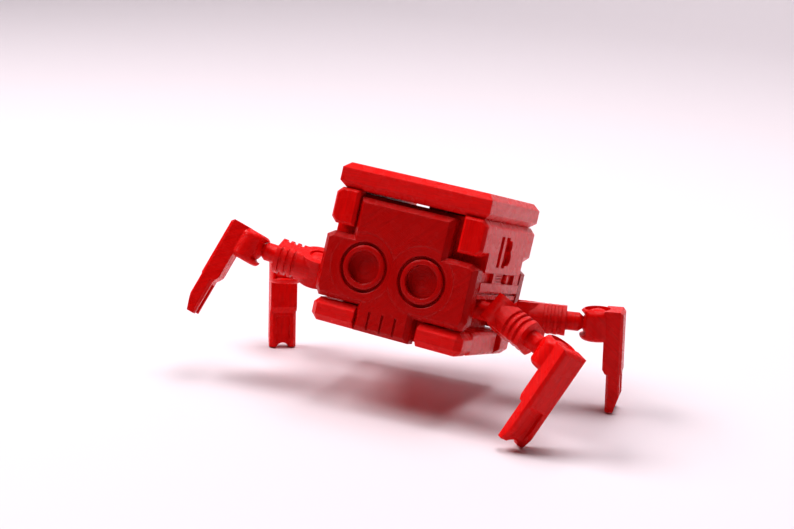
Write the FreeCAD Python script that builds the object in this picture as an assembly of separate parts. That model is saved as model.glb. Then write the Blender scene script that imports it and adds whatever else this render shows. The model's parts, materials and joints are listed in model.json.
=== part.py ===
import FreeCAD, Part
import os
from math import radians, sin, cos, tan

# Four-legged cube robot, printed in plastic, with ball-jointed legs.
# Lengths are in millimetres. The body frame has x to the body's right, y to its back and z up,
# with its origin at the middle of the cube. The legs are modelled in frames of their own and
# then set in their poses, and at the end the whole robot is leaned over onto its three feet.

V = FreeCAD.Vector

# ---- body ----
CUBE = 50.0
HALF = CUBE / 2
SIDE = HALF + 0.4
LID_UNDERSIDE = 17.05
LID_CHAMFER = 1.9
LID_STEM = 5.2
PLATE_THICKNESS = 5.5
PLATE_CHAMFER = 1.5
FACE_SHIFT = -1.1
FACE_TOP = 15.4
FACE_SHOULDER = 3.3
CHEEK_BOTTOM = -17.3
CHIN_BOTTOM = -25.2
BROW_HALF_WIDTH = 15.8
REAR_BROW_HALF_WIDTH = 10.2
REAR_TOP = 17.0
CORE_RIM_TOP = 16.45
CHEEK_CUT = (2.4, 1.5)
CHIN_HALF_WIDTH = 9.4
EYE_SPACING = 19.5
EYE_HEIGHT = -5.7
EYE_RING_RADIUS = 6.9
EYE_DISH_RADIUS = 5.2
EYE_GROOVE_RADIUS = 7.9
CORE_HALF_WIDTH = 17.4
CORE_HALF_DEPTH = HALF - PLATE_THICKNESS
CORE_TOP = 13.9
CORE_BOTTOM = -17.8
CORE_WALL = 4.0
PANEL_TOP = 17.05
PANEL_BAR_BOTTOM = 5.7
PANEL_TONGUE_BOTTOM = 1.3
PANEL_CHAMFER = 1.8
TONGUE_HALF_DEPTH = 18.0
RAIL_TOP = -1.9
RAIL_BOTTOM = -5.0
RAIL_SKIRT_BOTTOM = -6.9
RAIL_RECESS = 1.2
BLOCK_TOP = -17.8
BLOCK_CHAMFER = 2.0
BLOCK_INNER = 9.6
BLOCK_DEPTH = 10.5

# ---- leg joints ----
BALL_RADIUS = 5.0
BALL_CLEARANCE = 0.04
NECK_RADIUS = 3.0
PEG_RADIUS = 1.9
PEG_CLEARANCE = 0.05
HIP_OUT = 31.8
HIP_FORE_AFT = 12.1
HIP_HEIGHT = -10.4

# ---- thigh ----
THIGH_RADIUS = 5.75
THIGH_FLAT = 4.7
THIGH_END = 13.3
KNEE_DISTANCE = 23.25
THIGH_GROOVES = (6.7, 8.95, 11.2)
GROOVE_WIDTH = 1.15
GROOVE_DEPTH = 0.75
HIP_MOUTH_HALF_ANGLE = 62.0
HIP_HOLE_RADIUS = 3.1

# ---- shin ----
BOSS_RADIUS = 5.6
BOSS_HALF_HEIGHT = 5.1
SHIN_INNER = 2.7
SHIN_OUTER = 8.65
SHIN_WIDTH = 9.1
SHIN_STEP_TOP = -13.7
SHIN_STEP_BOTTOM = -15.8
SHIN_LOWER_INNER = 3.9
SHIN_LOWER_OUTER = 8.3
SHIN_FOOT = -27.6
FOOT_TAPER_TOP = -22.4
FOOT_TIP_OUTER = 6.5
KNEE_HOLE_RADIUS = 4.05
KNEE_SLOT_HALF_HEIGHT = 2.75
KNEE_SLOT_FLARED = 4.7
KNEE_SLOT_LOWER = 3.4
KNEE_MOUTH_NARROW = 57.0
KNEE_MOUTH_WIDE = 88.0
BOSS_TOP_ROUND = 2.1
BOSS_BOTTOM_ROUND = 1.7

# ---- pose ----
# Directions are in the body frame. "out" points along the piece away from the body and "up"
# is the upright of the piece.
LEGS = {
    "front_left": {
        "side": -1, "end": -1,
        "thigh_out": V(-0.973, -0.218, 0.078), "thigh_up": V(0.159, -0.383, 0.910),
        "shin_out": V(-0.923, -0.254, 0.287), "shin_up": V(0.240, 0.172, 0.952),
    },
    "rear_left": {
        "side": -1, "end": 1,
        "thigh_out": V(-0.978, 0.048, -0.203), "thigh_up": V(-0.203, -0.001, 0.979),
        "shin_out": V(-0.590, 0.805, -0.030), "shin_up": V(-0.188, -0.088, 0.978),
    },
    "front_right": {
        "side": 1, "end": -1,
        "thigh_out": V(0.896, -0.313, -0.316), "thigh_up": V(0.409, 0.299, 0.862),
        "shin_out": V(0.723, -0.628, -0.286), "shin_up": V(0.365, -0.004, 0.931),
    },
    "rear_right": {
        "side": 1, "end": 1,
        "thigh_out": V(0.956, 0.268, 0.123), "thigh_up": V(-0.120, -0.026, 0.992),
        "shin_out": V(0.978, 0.128, 0.166), "shin_up": V(-0.130, -0.205, 0.968),
    },
}
# The upward direction of the floor, as the leaning body sees it.
FLOOR_UP = V(-0.0636, -0.2547, 0.9649)


def box(x0, x1, y0, y1, z0, z1):
    return Part.makeBox(x1 - x0, y1 - y0, z1 - z0, V(x0, y0, z0))


def rod(radius, start, end):
    direction = end - start
    return Part.makeCylinder(radius, direction.Length, start, direction)


def chamfer_where(shape, size, test):
    edges = [edge for edge in shape.Edges if test(edge)]
    return shape.makeChamfer(size, edges)


def edge_within(edge, axis, value):
    points = [getattr(vertex.Point, axis) for vertex in edge.Vertexes]
    return all(abs(point - value) < 1e-4 for point in points)


def prism_y(outline, y0, y1):
    points = [V(x, y0, z) for x, z in outline]
    face = Part.Face(Part.makePolygon(points + [points[0]]))
    return face.extrude(V(0, y1 - y0, 0))


def prism_z(outline, z0, z1):
    points = [V(x, y, z0) for x, y in outline]
    face = Part.Face(Part.makePolygon(points + [points[0]]))
    return face.extrude(V(0, 0, z1 - z0))


def mirror_x(shape):
    return shape.mirror(V(0, 0, 0), V(1, 0, 0))


def mirror_y(shape):
    return shape.mirror(V(0, 0, 0), V(0, 1, 0))


def frame_at(origin, out, up):
    x = V(out).normalize()
    z = V(up).sub(V(x).multiply(V(up).dot(x))).normalize()
    y = z.cross(x)
    matrix = FreeCAD.Matrix(
        x.x, y.x, z.x, origin.x,
        x.y, y.y, z.y, origin.y,
        x.z, y.z, z.z, origin.z,
        0, 0, 0, 1)
    return FreeCAD.Placement(matrix)


def placed(shape, placement):
    copy = shape.copy()
    copy.Placement = placement.multiply(copy.Placement)
    return copy


# ---------------------------------------------------------------- body pieces
def top_lid():
    slab = box(-HALF, HALF, -HALF, HALF, LID_UNDERSIDE, HALF)
    slab = chamfer_where(
        slab, LID_CHAMFER,
        lambda edge: edge_within(edge, "z", HALF) or edge_within(edge, "z", LID_UNDERSIDE))
    half = LID_STEM / 2
    stem = box(-half, half, -half, half, CORE_TOP - CORE_WALL + 0.5, LID_UNDERSIDE + 1)
    return slab.fuse(stem).removeSplitter()


def plate_outline(shift, left, right, brow, top):
    wide, tall = CHEEK_CUT
    return [
        (shift - brow, top), (shift + brow, top),
        (shift + brow, FACE_SHOULDER), (right - wide, FACE_SHOULDER),
        (right, FACE_SHOULDER - tall), (right, CHEEK_BOTTOM + wide),
        (right - tall, CHEEK_BOTTOM), (shift + CHIN_HALF_WIDTH, CHEEK_BOTTOM),
        (shift + CHIN_HALF_WIDTH, CHIN_BOTTOM), (shift - CHIN_HALF_WIDTH, CHIN_BOTTOM),
        (shift - CHIN_HALF_WIDTH, CHEEK_BOTTOM), (left + tall, CHEEK_BOTTOM),
        (left, CHEEK_BOTTOM + wide), (left, FACE_SHOULDER - tall),
        (left + wide, FACE_SHOULDER), (shift - brow, FACE_SHOULDER)]


def cross_plate(shift, left, right, brow, top):
    outline = plate_outline(shift, left, right, brow, top)
    plate = prism_y(outline, -HALF, -HALF + PLATE_THICKNESS)
    return chamfer_where(plate, PLATE_CHAMFER, lambda edge: edge_within(edge, "y", -HALF))


def eye_centres():
    return [V(FACE_SHIFT - EYE_SPACING / 2, -HALF, EYE_HEIGHT),
            V(FACE_SHIFT + EYE_SPACING / 2, -HALF, EYE_HEIGHT)]


def face_plate():
    plate = cross_plate(FACE_SHIFT, -HALF - 0.8, HALF + 0.2, BROW_HALF_WIDTH, FACE_TOP)
    for centre in eye_centres():
        groove = rod(EYE_GROOVE_RADIUS, centre + V(0, -1, 0), centre + V(0, 1.2, 0))
        socket = rod(EYE_RING_RADIUS, centre + V(0, -1, 0), centre + V(0, 3.5, 0))
        plate = plate.cut(groove.fuse(socket))
    for number in (-1, 0, 1):
        x = FACE_SHIFT + 4.4 * number
        slot = box(x - 0.35, x + 0.35, -HALF - 1, -HALF + 0.6, -24.2, -18.6)
        plate = plate.cut(slot)
    return plate


def eye_cup(centre):
    cup = rod(EYE_RING_RADIUS, centre + V(0, -0.1, 0), centre + V(0, 3.5, 0))
    rim = [edge for edge in cup.Edges if edge_within(edge, "y", centre.y - 0.1)]
    cup = cup.makeFillet(0.55, rim)
    return cup.cut(rod(EYE_DISH_RADIUS, centre + V(0, -1, 0), centre + V(0, 1.9, 0)))


def rear_plate():
    return mirror_y(cross_plate(0.0, -SIDE, SIDE, REAR_BROW_HALF_WIDTH, REAR_TOP))


def core_frame():
    outer = box(-CORE_HALF_WIDTH, CORE_HALF_WIDTH, -CORE_HALF_DEPTH, CORE_HALF_DEPTH,
                CORE_BOTTOM, CORE_TOP)
    inner = box(-CORE_HALF_WIDTH + CORE_WALL, CORE_HALF_WIDTH - CORE_WALL,
                -CORE_HALF_DEPTH + CORE_WALL, CORE_HALF_DEPTH - CORE_WALL,
                CORE_BOTTOM + CORE_WALL, CORE_TOP - CORE_WALL)
    core = outer.cut(inner)
    rim = box(-CORE_HALF_WIDTH, CORE_HALF_WIDTH, -CORE_HALF_DEPTH, -CORE_HALF_DEPTH + 2.0,
              CORE_TOP - 1, CORE_RIM_TOP)
    core = core.fuse(rim)
    half = LID_STEM / 2
    core = core.cut(box(-half, half, -half, half, CORE_TOP - CORE_WALL - 1, CORE_TOP + 1))
    for side in (-1, 1):
        for end in (-1, 1):
            hole_start = V(side * (CORE_HALF_WIDTH - CORE_WALL - 1), end * HIP_FORE_AFT, HIP_HEIGHT)
            hole_end = V(side * (CORE_HALF_WIDTH + 1), end * HIP_FORE_AFT, HIP_HEIGHT)
            core = core.cut(rod(PEG_RADIUS + PEG_CLEARANCE, hole_start, hole_end))
    return core.removeSplitter()


def side_panel():
    bar = box(CORE_HALF_WIDTH, SIDE, -HALF, HALF, PANEL_BAR_BOTTOM, PANEL_TOP)
    bar = chamfer_where(
        bar, PANEL_CHAMFER,
        lambda edge: edge_within(edge, "x", SIDE) and (
            edge_within(edge, "z", PANEL_TOP) or edge_within(edge, "z", PANEL_BAR_BOTTOM)))
    bar = chamfer_where(
        bar, 0.8,
        lambda edge: edge_within(edge, "y", -HALF) or edge_within(edge, "y", HALF))
    tongue = box(CORE_HALF_WIDTH, SIDE, -TONGUE_HALF_DEPTH, TONGUE_HALF_DEPTH,
                 PANEL_TONGUE_BOTTOM, PANEL_BAR_BOTTOM + 4)
    panel = bar.fuse(tongue).removeSplitter()
    # A straight slot and beside it a wavy one.
    floor = SIDE - 1.5
    panel = panel.cut(box(floor, SIDE + 1, -8.8, -5.8, 3.2, 13.0))
    wave = box(floor, SIDE + 1, -3.6, -0.2, 3.2, 13.0)
    for y, z, radius in ((1.6, 10.2, 1.9), (2.0, 6.3, 2.3)):
        lobe = rod(radius, V(floor, y, z), V(SIDE + 1, y, z))
        neck = box(floor, SIDE + 1, -1.0, y, z - radius, z + radius)
        wave = wave.fuse([lobe, neck])
    return panel.cut(wave)


def side_rail():
    depth = CORE_HALF_DEPTH - 0.2
    ledge = box(CORE_HALF_WIDTH, SIDE, -depth, depth, RAIL_BOTTOM, RAIL_TOP)
    ledge = chamfer_where(
        ledge, 0.4,
        lambda edge: edge_within(edge, "z", RAIL_BOTTOM) and edge_within(edge, "x", SIDE))
    recess = box(CORE_HALF_WIDTH, SIDE - RAIL_RECESS, -depth + 0.8, depth - 0.8,
                 RAIL_TOP - 0.5, PANEL_TONGUE_BOTTOM)
    post = box(CORE_HALF_WIDTH, SIDE - 0.2, 13.0, 18.6, RAIL_TOP - 0.5, PANEL_TONGUE_BOTTOM)
    # The skirt starts outside the collars of the hip studs.
    inner = CORE_HALF_WIDTH + 2.2
    web = box(inner, SIDE - 1.4, -depth, depth, RAIL_SKIRT_BOTTOM + 0.5, RAIL_BOTTOM + 0.5)
    skirt = box(inner, SIDE - 0.3, -depth, depth, RAIL_SKIRT_BOTTOM, RAIL_BOTTOM - 0.45)
    return ledge.fuse([recess, post, web, skirt]).removeSplitter()


def latch_block():
    block = box(SIDE - RAIL_RECESS, SIDE - 0.1, -8.6, 0.4, RAIL_TOP, PANEL_TONGUE_BOTTOM)
    for z in (-1.1, -0.2, 0.7):
        block = block.cut(box(SIDE - 0.6, SIDE, -6.6, 2.0, z - 0.2, z + 0.2))
    return block


def rail_knob():
    middle = (RAIL_TOP + PANEL_TONGUE_BOTTOM) / 2
    start = V(SIDE - RAIL_RECESS, 5.2, middle)
    knob = rod(1.55, start, start + V(RAIL_RECESS + 0.2, 0, 0))
    rim = [edge for edge in knob.Edges if edge_within(edge, "x", SIDE + 0.2)]
    return knob.makeFillet(0.9, rim)


def lower_panel():
    panel = box(CORE_HALF_WIDTH + 0.2, SIDE - 1.0, -12.4, 12.4, CHIN_BOTTOM + 0.1, BLOCK_TOP)
    return chamfer_where(panel, 0.8, lambda edge: edge_within(edge, "x", SIDE - 1.0))


def corner_block():
    block = box(BLOCK_INNER + 1.0, SIDE, -HALF, -HALF + BLOCK_DEPTH, CHIN_BOTTOM, BLOCK_TOP)
    return chamfer_where(
        block, BLOCK_CHAMFER,
        lambda edge: (edge_within(edge, "y", -HALF) or edge_within(edge, "x", SIDE))
        and not (edge_within(edge, "x", BLOCK_INNER + 1.0)
                 or edge_within(edge, "y", -HALF + BLOCK_DEPTH)))


def bottom_plate():
    spine = box(-BLOCK_INNER + 0.6, BLOCK_INNER - 0.6, -CORE_HALF_DEPTH, CORE_HALF_DEPTH,
                CHIN_BOTTOM + 0.8, CORE_BOTTOM)
    wings = box(-CORE_HALF_WIDTH - 0.2, CORE_HALF_WIDTH + 0.2, -12.4, 12.4,
                CHIN_BOTTOM + 0.8, CORE_BOTTOM)
    return spine.fuse(wings).removeSplitter()


# ---------------------------------------------------------------- leg pieces
def wedge(half_angle, reach, z0, z1):
    side = reach * tan(radians(min(half_angle, 80.0)))
    if half_angle > 80.0:
        side = reach * tan(radians(80.0))
        inset = side * cos(radians(half_angle)) / sin(radians(half_angle))
        outline = [(0, 0), (-inset, side), (-reach, side), (-reach, -side), (-inset, -side)]
    else:
        outline = [(0, 0), (-reach, side), (-reach, -side)]
    return prism_z(outline, z0, z1)


def hip_stud():
    # Ball at the origin, stem along -x into the core.
    inner = -(HIP_OUT - CORE_HALF_WIDTH)
    ball = Part.makeSphere(BALL_RADIUS)
    neck = rod(NECK_RADIUS, V(0, 0, 0), V(inner + 1.65, 0, 0))
    collar = rod(4.2, V(inner + 0.05, 0, 0), V(inner + 1.7, 0, 0))
    peg = rod(PEG_RADIUS, V(inner + 0.1, 0, 0), V(inner - CORE_WALL - 1.6, 0, 0))
    head = rod(PEG_RADIUS + 0.7, V(inner - CORE_WALL - 0.1, 0, 0),
               V(inner - CORE_WALL - 1.6, 0, 0))
    return ball.fuse([neck, collar, peg, head]).removeSplitter()


def thigh():
    # Hip ball at the origin, the leg running along +x.
    barrel = rod(THIGH_RADIUS, V(-4.4, 0, 0), V(THIGH_END, 0, 0))
    flats = box(-6, THIGH_END + 1, -7, 7, -THIGH_FLAT, THIGH_FLAT)
    barrel = barrel.common(flats)
    plan = prism_z(
        [(-4.4, 3.7), (-2.6, 5.0), (0.2, 5.35), (2.7, 5.9), (THIGH_END + 1, 5.9),
         (THIGH_END + 1, -5.9), (2.7, -5.9), (0.2, -5.35), (-2.6, -5.0), (-4.4, -3.7)], -6, 6)
    shape = barrel.common(plan)
    sleeve = Part.makeCylinder(BALL_RADIUS + 0.62, 2 * THIGH_FLAT, V(0, 0, -THIGH_FLAT))
    shape = shape.fuse(sleeve.common(box(-4.4, 6, -7, 7, -5, 5)))
    for x in THIGH_GROOVES:
        ring = rod(THIGH_RADIUS + 1, V(x - GROOVE_WIDTH / 2, 0, 0), V(x + GROOVE_WIDTH / 2, 0, 0))
        ring = ring.cut(rod(THIGH_RADIUS - GROOVE_DEPTH, V(x - 1, 0, 0), V(x + 1, 0, 0)))
        shape = shape.cut(ring)
    shape = shape.cut(Part.makeSphere(BALL_RADIUS + BALL_CLEARANCE))
    shape = shape.cut(Part.makeCylinder(HIP_HOLE_RADIUS, 12, V(0, 0, -6)))
    shape = shape.cut(wedge(HIP_MOUTH_HALF_ANGLE, 9, -6, 6))
    socket = rod(PEG_RADIUS + PEG_CLEARANCE, V(THIGH_END - 6.4, 0, 0), V(THIGH_END + 1, 0, 0))
    return shape.cut(socket).removeSplitter()


def knee_stud():
    # Ball at the origin, stem along -x into the end of the thigh.
    face = -(KNEE_DISTANCE - THIGH_END)
    ball = Part.makeSphere(BALL_RADIUS)
    neck = rod(NECK_RADIUS, V(-5.9, 0, 0), V(face + 0.05, 0, 0))
    throat = Part.makeCone(1.75, NECK_RADIUS, 1.6, V(-4.3, 0, 0), V(-1, 0, 0))
    peg = rod(PEG_RADIUS, V(face + 1, 0, 0), V(face - 6.2, 0, 0))
    return ball.fuse([throat, neck, peg]).removeSplitter()


def shin(side):
    # Knee ball at the origin, +x away from the thigh, foot towards -z.
    # The mouth reaches further round towards the robot's back.
    half = SHIN_WIDTH / 2
    boss = Part.makeCylinder(BOSS_RADIUS, 2 * BOSS_HALF_HEIGHT, V(0, 0, -BOSS_HALF_HEIGHT))
    top_rim = [edge for edge in boss.Edges if edge_within(edge, "z", BOSS_HALF_HEIGHT)]
    boss = boss.makeFillet(BOSS_TOP_ROUND, top_rim)
    bottom_rim = [edge for edge in boss.Edges if edge_within(edge, "z", -BOSS_HALF_HEIGHT)]
    boss = boss.makeFillet(BOSS_BOTTOM_ROUND, bottom_rim)
    profile = [
        (SHIN_INNER, BOSS_HALF_HEIGHT), (SHIN_OUTER - 1.0, BOSS_HALF_HEIGHT),
        (SHIN_OUTER, BOSS_HALF_HEIGHT - 1.0), (SHIN_OUTER, SHIN_STEP_TOP - 1.0),
        (SHIN_LOWER_OUTER, SHIN_STEP_TOP - 1.6), (SHIN_LOWER_OUTER, FOOT_TAPER_TOP),
        (FOOT_TIP_OUTER, SHIN_FOOT), (SHIN_LOWER_INNER, SHIN_FOOT),
        (SHIN_LOWER_INNER, SHIN_STEP_BOTTOM), (SHIN_INNER, SHIN_STEP_TOP)]
    bar = prism_y(profile, -half, half)
    cross = [(0, half), (SHIN_OUTER - 0.9, half), (SHIN_OUTER, half - 0.9),
             (SHIN_OUTER, -half + 0.9), (SHIN_OUTER - 0.9, -half), (0, -half)]
    bar = bar.common(prism_z(cross, SHIN_FOOT - 1, BOSS_HALF_HEIGHT + 1))
    lower = [(SHIN_LOWER_INNER, half - 1.0), (SHIN_LOWER_INNER + 0.8, half),
             (SHIN_LOWER_INNER - 1.5, half), (SHIN_LOWER_INNER - 1.5, half - 1.0)]
    for sign in (-1, 1):
        corner = prism_z([(x, sign * y) for x, y in lower], SHIN_FOOT - 1, SHIN_STEP_BOTTOM + 0.6)
        bar = bar.cut(corner)
    shape = boss.fuse(bar)
    shape = shape.cut(box(SHIN_LOWER_OUTER - 1.1, SHIN_OUTER + 1, -2.3, 2.3,
                          SHIN_FOOT - 1, SHIN_STEP_TOP - 1.4))
    shape = shape.cut(box(SHIN_LOWER_INNER - 2, SHIN_LOWER_INNER + 0.7, -2.3, 2.3,
                          SHIN_FOOT - 1, SHIN_STEP_BOTTOM - 1.2))
    arch = Part.makeCylinder(2.3, 10, V(0, 0, SHIN_FOOT - 0.9), V(1, 0, 0))
    shape = shape.cut(arch)
    shape = shape.cut(Part.makeSphere(BALL_RADIUS + BALL_CLEARANCE))
    shape = shape.cut(Part.makeCylinder(KNEE_HOLE_RADIUS, 12, V(0, 0, 0)))
    # The mouth opens wide on one side only, which the left and right shins mirror.
    back = (0, 20) if side > 0 else (-20, 0)
    wide = wedge(KNEE_MOUTH_WIDE, 9, -6, 6).common(box(-20, 20, back[0], back[1], -6, 6))
    narrow = wedge(KNEE_MOUTH_NARROW, 9, -6, 6)
    mouth = narrow.fuse(wide)
    inner = KNEE_SLOT_HALF_HEIGHT
    flared = KNEE_SLOT_FLARED
    lower = KNEE_SLOT_LOWER
    outline = [(0, inner), (3.8, inner), (5.1, flared - 0.4), (6.0, flared), (9, flared),
               (9, -lower), (5.0, -lower), (4.0, -inner), (0, -inner)]
    points = [V(radius, 0, z) for radius, z in outline]
    face = Part.Face(Part.makePolygon(points + [points[0]]))
    funnel = face.revolve(V(0, 0, 0), V(0, 0, 1), 360)
    return shape.cut(mouth.common(funnel)).removeSplitter()


# ---------------------------------------------------------------- assembly
def all_pieces():
    left_eye, right_eye = eye_centres()
    right_front_block = corner_block()
    right_rear_block = mirror_y(right_front_block)
    pieces = {
        "core_frame": core_frame(),
        "top_lid": top_lid(),
        "face_plate": face_plate(),
        "rear_plate": rear_plate(),
        "eye_cup_left": eye_cup(left_eye),
        "eye_cup_right": eye_cup(right_eye),
        "bottom_plate": bottom_plate(),
        "corner_block_front_right": right_front_block,
        "corner_block_rear_right": right_rear_block,
        "corner_block_front_left": mirror_x(right_front_block),
        "corner_block_rear_left": mirror_x(right_rear_block),
    }
    for name, shape in (("side_panel", side_panel()), ("side_rail", side_rail()),
                        ("latch_block", latch_block()), ("rail_knob", rail_knob()),
                        ("lower_panel", lower_panel())):
        pieces[name + "_right"] = shape
        pieces[name + "_left"] = mirror_x(shape)
    for leg, pose in LEGS.items():
        hip = V(pose["side"] * HIP_OUT, pose["end"] * HIP_FORE_AFT, HIP_HEIGHT)
        thigh_frame = frame_at(hip, pose["thigh_out"], pose["thigh_up"])
        knee = thigh_frame.multVec(V(KNEE_DISTANCE, 0, 0))
        stud_frame = frame_at(hip, V(pose["side"], 0, 0), V(0, 0, 1))
        knee_stud_frame = frame_at(knee, pose["thigh_out"], pose["thigh_up"])
        shin_frame = frame_at(knee, pose["shin_out"], pose["shin_up"])
        pieces["hip_stud_" + leg] = placed(hip_stud(), stud_frame)
        pieces["thigh_" + leg] = placed(thigh(), thigh_frame)
        pieces["knee_stud_" + leg] = placed(knee_stud(), knee_stud_frame)
        pieces["shin_" + leg] = placed(shin(pose["side"]), shin_frame)
    return pieces


def level_frame():
    up = V(FLOOR_UP).normalize()
    right = V(1, 0, 0).sub(V(up).multiply(up.x)).normalize()
    back = up.cross(right)
    matrix = FreeCAD.Matrix(
        right.x, right.y, right.z, 0,
        back.x, back.y, back.z, 0,
        up.x, up.y, up.z, 0,
        0, 0, 0, 1)
    return FreeCAD.Placement(matrix)


def main():
    os.makedirs("parts", exist_ok=True)
    lean = level_frame()
    leaned = {name: placed(shape, lean) for name, shape in all_pieces().items()}
    bounds = FreeCAD.BoundBox()
    for shape in leaned.values():
        bounds.add(shape.optimalBoundingBox(False))
    shift = V(-(bounds.XMin + bounds.XMax) / 2, -(bounds.YMin + bounds.YMax) / 2, -bounds.ZMin)
    for name, shape in leaned.items():
        shape.translate(shift)
        shape.exportStep("parts/" + name + ".step")


main()
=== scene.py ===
import json
from math import cos, pi, radians, sin

import bpy
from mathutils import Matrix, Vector

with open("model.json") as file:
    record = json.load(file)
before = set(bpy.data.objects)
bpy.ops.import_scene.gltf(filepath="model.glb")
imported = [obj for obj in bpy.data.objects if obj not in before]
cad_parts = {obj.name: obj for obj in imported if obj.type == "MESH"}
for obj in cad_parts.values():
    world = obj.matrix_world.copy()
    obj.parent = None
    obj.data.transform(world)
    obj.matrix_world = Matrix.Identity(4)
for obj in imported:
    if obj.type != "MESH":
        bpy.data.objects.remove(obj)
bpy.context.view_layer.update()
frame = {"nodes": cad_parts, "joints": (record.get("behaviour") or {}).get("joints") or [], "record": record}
scene = bpy.context.scene
scene.view_settings.view_transform = "Standard"
MM = 0.001

# The cube leans back on its feet: these are its own right, back and up directions.
record = frame["record"]
lid_mount = record["mounts"][0]
CUBE_UP = Vector(lid_mount["axis"]).normalized()
CUBE_RIGHT = (Vector((1, 0, 0)) - CUBE_UP * CUBE_UP.x).normalized()
CUBE_BACK = CUBE_UP.cross(CUBE_RIGHT)
CUBE_TOP = Vector(lid_mount["pos_m"])
HALF_CUBE = 25
CUBE_CENTRE = CUBE_TOP - CUBE_UP * HALF_CUBE * MM
JOINTS = {joint["name"]: joint for joint in frame["joints"]}


def cube_point(x, y, z):
    """A point in millimetres from the middle of the cube, as a point of the row frame."""
    return CUBE_CENTRE + (CUBE_RIGHT * x + CUBE_BACK * y + CUBE_UP * z) * MM


# ------------------------------------------------------------------ materials
class Nodes:
    """Short helpers for wiring a shader."""

    def __init__(self, name):
        self.material = bpy.data.materials.new(name)
        self.material.use_nodes = True
        self.tree = self.material.node_tree
        self.shader = self.tree.nodes["Principled BSDF"]

    def add(self, kind, **settings):
        node = self.tree.nodes.new(kind)
        for key, value in settings.items():
            setattr(node, key, value)
        return node

    def link(self, source, target):
        self.tree.links.new(source, target)

    def feed(self, socket, value):
        if isinstance(value, bpy.types.NodeSocket):
            self.link(value, socket)
        else:
            socket.default_value = value

    def math(self, operation, first, second=0.0):
        node = self.add("ShaderNodeMath", operation=operation)
        self.feed(node.inputs[0], first)
        self.feed(node.inputs[1], second)
        return node.outputs[0]

    def vector(self, operation, first, second=None, output="Vector"):
        node = self.add("ShaderNodeVectorMath", operation=operation)
        self.feed(node.inputs[0], first)
        if second is not None:
            self.feed(node.inputs[1], second)
        return node.outputs[output]

    def dot(self, vector, direction):
        return self.vector("DOT_PRODUCT", vector, tuple(direction), "Value")

    def noise(self, vector, scale, detail=2.0, roughness=0.5):
        node = self.add("ShaderNodeTexNoise")
        self.feed(node.inputs["Vector"], vector)
        node.inputs["Scale"].default_value = scale
        node.inputs["Detail"].default_value = detail
        node.inputs["Roughness"].default_value = roughness
        return node.outputs["Fac"]

    def ramp(self, value, low, high, out_low=0.0, out_high=1.0):
        node = self.add("ShaderNodeMapRange")
        node.interpolation_type = "SMOOTHSTEP"
        self.feed(node.inputs["Value"], value)
        node.inputs["From Min"].default_value = low
        node.inputs["From Max"].default_value = high
        node.inputs["To Min"].default_value = out_low
        node.inputs["To Max"].default_value = out_high
        return node.outputs["Result"]

    def wave(self, distance, pitch):
        """Rounded beads, one every pitch metres: 0 in the seams and 1 on the crowns."""
        angle = self.math("MULTIPLY", distance, pi / pitch)
        return self.math("SQRT", self.math("ABSOLUTE", self.math("SINE", angle)))

    def mix(self, factor, first, second):
        node = self.add("ShaderNodeMix", data_type="FLOAT")
        self.feed(node.inputs[0], factor)
        self.feed(node.inputs[2], first)
        self.feed(node.inputs[3], second)
        return node.outputs[0]


# The print: how high a layer is, how wide a bead is, and how the noise that roughens them is scaled.
LAYER = 0.2 * MM
BEAD = 0.45 * MM
LAYER_STRETCH = 0.10
BEAD_STRETCH = 0.08
LAYER_NOISE = 2200.0
BEAD_NOISE = 1800.0
WIDE_NOISE = 700.0
LUMP_NOISE = 260.0
FLAT_STARTS = 0.80
FLAT_ENDS = 0.95
RINGS_END = 10.5 * MM
RINGS_GONE = 11.0 * MM
EDGE_ROUND = 0.5 * MM
RELIEF_DEPTH = 0.08 * MM
RELIEF_STRENGTH = 0.55
WIDE_RELIEF = 1.2
# The plastic.
DEEP_RED = Vector((0.72, 0.0012, 0.0010))
BRIGHT_RED = Vector((0.90, 0.0030, 0.0025))
# Painted shade: the face plate is the same plastic as the rest, with its base colour darkened to 0.62 to
# stand in for the shade on the front face.
FACE_PAINTED_SHADE = 0.62
SHINIEST = 0.24
DULLEST = 0.30
SPECULAR = 0.13
GLOW_THROUGH = 0.10
GLOW_DEPTH = 1.2 * MM


def blend_beads(nodes, along, coordinates, across, other, rings):
    """Beads that follow circles round each point of rings, and run straight away from them."""
    nearest = None
    for centre in rings:
        offset = nodes.vector("SUBTRACT", coordinates, tuple(centre))
        sideways = nodes.add("ShaderNodeCombineXYZ")
        nodes.link(nodes.dot(offset, across), sideways.inputs[0])
        nodes.link(nodes.dot(offset, other), sideways.inputs[1])
        distance = nodes.vector("LENGTH", sideways.outputs[0], None, "Value")
        nearest = distance if nearest is None else nodes.math("MINIMUM", nearest, distance)
    near = nodes.ramp(nearest, RINGS_END, RINGS_GONE)
    return nodes.mix(near, nearest, along)


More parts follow.
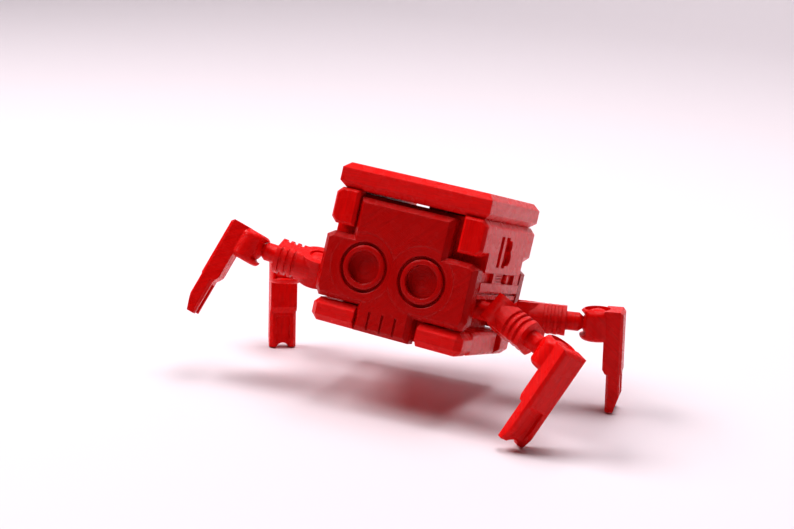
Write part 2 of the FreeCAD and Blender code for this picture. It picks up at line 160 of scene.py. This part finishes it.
def printed_red(name, up, across, rings=None, painted_shade_factor=1.0):
    """Layered red plastic. up is the direction it was printed in, across the way the top beads run.
    rings lists points whose walls were printed as circles round them."""
    nodes = Nodes(name)
    up = Vector(up).normalized()
    across = Vector(across).normalized()
    other = up.cross(across)
    coordinates = nodes.add("ShaderNodeTexCoord").outputs["Object"]
    normal = nodes.add("ShaderNodeNewGeometry").outputs["Normal"]
    height = nodes.dot(coordinates, up)
    # The same place within a layer, squeezed so that noise draws streaks along the layers.
    squeeze = nodes.add("ShaderNodeCombineXYZ")
    nodes.feed(squeeze.inputs[0], nodes.math("MULTIPLY", nodes.dot(coordinates, across), LAYER_STRETCH))
    nodes.feed(squeeze.inputs[1], nodes.math("MULTIPLY", nodes.dot(coordinates, other), LAYER_STRETCH))
    nodes.feed(squeeze.inputs[2], height)
    streaks = nodes.noise(squeeze.outputs[0], LAYER_NOISE, 3.0, 0.6)
    wide_streaks = nodes.noise(squeeze.outputs[0], WIDE_NOISE, 2.0, 0.5)
    layers = nodes.wave(height, LAYER)
    # Beads laid side by side on the top and bottom faces, on the slant.
    along = nodes.dot(coordinates, (across + other).normalized())
    run = nodes.dot(coordinates, (across - other).normalized())
    if rings:
        along = blend_beads(nodes, along, coordinates, across, other, rings)
    beads = nodes.wave(along, BEAD)
    bead_grain = nodes.add("ShaderNodeCombineXYZ")
    nodes.feed(bead_grain.inputs[0], nodes.math("MULTIPLY", run, BEAD_STRETCH))
    nodes.feed(bead_grain.inputs[1], along)
    grain = nodes.noise(bead_grain.outputs[0], BEAD_NOISE, 2.0, 0.6)
    wide_grain = nodes.noise(bead_grain.outputs[0], WIDE_NOISE, 2.0, 0.5)
    # Flat faces that look up or down the print show beads, and walls show layers.
    facing = nodes.math("ABSOLUTE", nodes.dot(normal, up))
    on_top = nodes.ramp(facing, FLAT_STARTS, FLAT_ENDS)
    fine = nodes.mix(on_top, layers, beads)
    coarse = nodes.mix(on_top, streaks, grain)
    wide = nodes.mix(on_top, wide_streaks, wide_grain)
    relief = nodes.math("ADD", fine,
                        nodes.math("ADD", coarse, nodes.math("MULTIPLY", wide, WIDE_RELIEF)))
    rounded = nodes.add("ShaderNodeBevel", samples=4)
    rounded.inputs["Radius"].default_value = EDGE_ROUND
    bump = nodes.add("ShaderNodeBump")
    bump.inputs["Strength"].default_value = RELIEF_STRENGTH
    bump.inputs["Distance"].default_value = RELIEF_DEPTH
    nodes.link(relief, bump.inputs["Height"])
    nodes.link(rounded.outputs[0], bump.inputs["Normal"])
    nodes.link(bump.outputs[0], nodes.shader.inputs["Normal"])
    # The streaks of the print also run from a deeper red to a brighter one.
    shade = nodes.math("ADD", nodes.math("MULTIPLY", coarse, 0.6),
                       nodes.math("MULTIPLY", wide, 0.4))
    colour = nodes.add("ShaderNodeMix", data_type="RGBA")
    nodes.link(nodes.ramp(shade, 0.30, 0.70), colour.inputs[0])
    # The factor scales both reds. Below 1 it paints shade into the base colour.
    colour.inputs[6].default_value = (*(DEEP_RED * painted_shade_factor), 1)
    colour.inputs[7].default_value = (*(BRIGHT_RED * painted_shade_factor), 1)
    nodes.link(colour.outputs[2], nodes.shader.inputs["Base Color"])
    lumps = nodes.noise(coordinates, LUMP_NOISE, 2.0, 0.5)
    nodes.link(nodes.ramp(lumps, 0.3, 0.7, SHINIEST, DULLEST), nodes.shader.inputs["Roughness"])
    nodes.shader.inputs["Specular IOR Level"].default_value = SPECULAR
    nodes.shader.inputs["Subsurface Weight"].default_value = GLOW_THROUGH
    nodes.shader.inputs["Subsurface Radius"].default_value = (1.0, 0.12, 0.08)
    nodes.shader.inputs["Subsurface Scale"].default_value = GLOW_DEPTH
    return nodes.material


def paint(node_name, material):
    piece = frame["nodes"][node_name]
    if not piece.data.materials:
        piece.data.materials.append(material)
    for slot in piece.material_slots:
        slot.material = material


# The eyes, in millimetres from the middle of the cube.
EYES_MIDDLE = -1.1
EYES_HALF_SPREAD = 9.75
EYES_HEIGHT = -5.7
EYES = []
for side in (-1, 1):
    EYES.append(cube_point(EYES_MIDDLE + side * EYES_HALF_SPREAD, -HALF_CUBE, EYES_HEIGHT))
# The face plate, eye cups and rear plate get a copy of the red that is darkened by painted shade.
face_red_painted_shade = printed_red("red_face_painted_shade", CUBE_BACK, CUBE_RIGHT, EYES, FACE_PAINTED_SHADE)
lid_red = printed_red("red_lid", CUBE_UP, CUBE_RIGHT)
side_red = printed_red("red_side", CUBE_RIGHT, CUBE_BACK)
cube_red = printed_red("red_cube", CUBE_UP, CUBE_RIGHT)
for name in frame["nodes"]:
    if name in ("face_plate", "rear_plate") or name.startswith("eye_cup"):
        paint(name, face_red_painted_shade)
    elif name == "top_lid":
        paint(name, lid_red)
    elif name.startswith(("side_panel", "lower_panel", "side_rail", "latch_block", "rail_knob")):
        paint(name, side_red)
    elif not name.startswith(("hip_stud", "thigh", "knee_stud", "shin")):
        paint(name, cube_red)
for leg in ("front_left", "front_right", "rear_left", "rear_right"):
    thigh_axis = Vector(JOINTS["knee_twist_" + leg]["axis"])
    thigh_side = Vector(JOINTS["hip_lift_" + leg]["axis"])
    shin_up = Vector(JOINTS["knee_swing_" + leg]["axis"])
    thigh_red = printed_red("red_thigh_" + leg, thigh_axis.cross(thigh_side), thigh_axis)
    stud_red = printed_red("red_stud_" + leg, thigh_axis, thigh_side)
    shin_side = shin_up.cross(thigh_axis).normalized()
    shin_red = printed_red("red_shin_" + leg, shin_side, shin_up)
    paint("thigh_" + leg, thigh_red)
    paint("hip_stud_" + leg, stud_red)
    paint("knee_stud_" + leg, stud_red)
    paint("shin_" + leg, shin_red)


# ------------------------------------------------------------------ studio
def plain(name, colour, roughness):
    material = bpy.data.materials.new(name)
    material.use_nodes = True
    shader = material.node_tree.nodes["Principled BSDF"]
    shader.inputs["Base Color"].default_value = colour
    shader.inputs["Roughness"].default_value = roughness
    return material


SHEET_NEAR = -1.6
SHEET_BEND_STARTS = 1.1
SHEET_BEND = 0.8
SHEET_TOP = 3.0
SHEET_HALF_WIDTH = 3.0
SHEET_STEPS = 12
PALE_PINK = (0.77, 0.69, 0.735, 1)


def sweep():
    """A pale sheet that lies flat and then curves up a long way behind the object."""
    profile = [(SHEET_NEAR, 0.0), (SHEET_BEND_STARTS, 0.0)]
    for step in range(1, SHEET_STEPS + 1):
        angle = step / SHEET_STEPS * pi / 2
        out = SHEET_BEND_STARTS + SHEET_BEND * sin(angle)
        profile.append((out, SHEET_BEND * (1 - cos(angle))))
    profile.append((SHEET_BEND_STARTS + SHEET_BEND, SHEET_TOP))
    points = []
    faces = []
    for x in (-SHEET_HALF_WIDTH, SHEET_HALF_WIDTH):
        for y, z in profile:
            points.append((x, y, z))
    count = len(profile)
    for index in range(count - 1):
        faces.append((index, index + count, index + count + 1, index + 1))
    mesh = bpy.data.meshes.new("sweep")
    mesh.from_pydata(points, [], faces)
    mesh.shade_smooth()
    mesh.materials.append(plain("pale_sheet", PALE_PINK, 0.6))
    floor = bpy.data.objects.new("sweep", mesh)
    scene.collection.objects.link(floor)


def soft_light(name, place, aim, width, height, watts, colour=(1, 1, 1)):
    data = bpy.data.lights.new(name, "AREA")
    data.shape = "RECTANGLE"
    data.size = width
    data.size_y = height
    data.energy = watts
    data.color = colour
    lamp = bpy.data.objects.new(name, data)
    lamp.location = place
    lamp.rotation_euler = (Vector(aim) - Vector(place)).to_track_quat("-Z", "Y").to_euler()
    scene.collection.objects.link(lamp)


sweep()
TARGET = (0, 0, 0.04)
soft_light("top_box", (0.08, 0.20, 0.95), TARGET, 0.5, 0.5, 8.0, (1.0, 0.97, 0.985))
soft_light("right_box", (1.00, 0.60, 0.60), TARGET, 0.8, 0.8, 0.7)
soft_light("left_box", (-0.66, -0.12, 0.88), TARGET, 0.5, 0.5, 10.5)
soft_light("back_wash", (0.0, 0.9, 1.3), (0, 1.9, 0.5), 2.5, 0.6, 16)

# The studio beyond the sheet is pale to look at but gives almost no light.
STUDIO_LIGHT = 0.03
STUDIO_LOOK = 0.80
world = bpy.data.worlds.new("studio")
world.use_nodes = True
room = world.node_tree.nodes["Background"]
room.inputs["Color"].default_value = (1.0, 0.95, 0.975, 1)
path = world.node_tree.nodes.new("ShaderNodeLightPath")
glow = world.node_tree.nodes.new("ShaderNodeMapRange")
glow.inputs["To Min"].default_value = STUDIO_LIGHT
glow.inputs["To Max"].default_value = STUDIO_LOOK
world.node_tree.links.new(path.outputs["Is Camera Ray"], glow.inputs["Value"])
world.node_tree.links.new(glow.outputs["Result"], room.inputs["Strength"])
scene.world = world

camera_data = bpy.data.cameras.new("camera")
camera_data.sensor_width = 36.0
camera_data.lens = 68.0
camera_data.clip_start = 0.01
camera = bpy.data.objects.new("camera", camera_data)
camera.location = (0.17716, -0.42515, 0.16876)
camera.rotation_euler = (radians(74.489), radians(-3.773), radians(24.329))
scene.collection.objects.link(camera)
scene.camera = camera
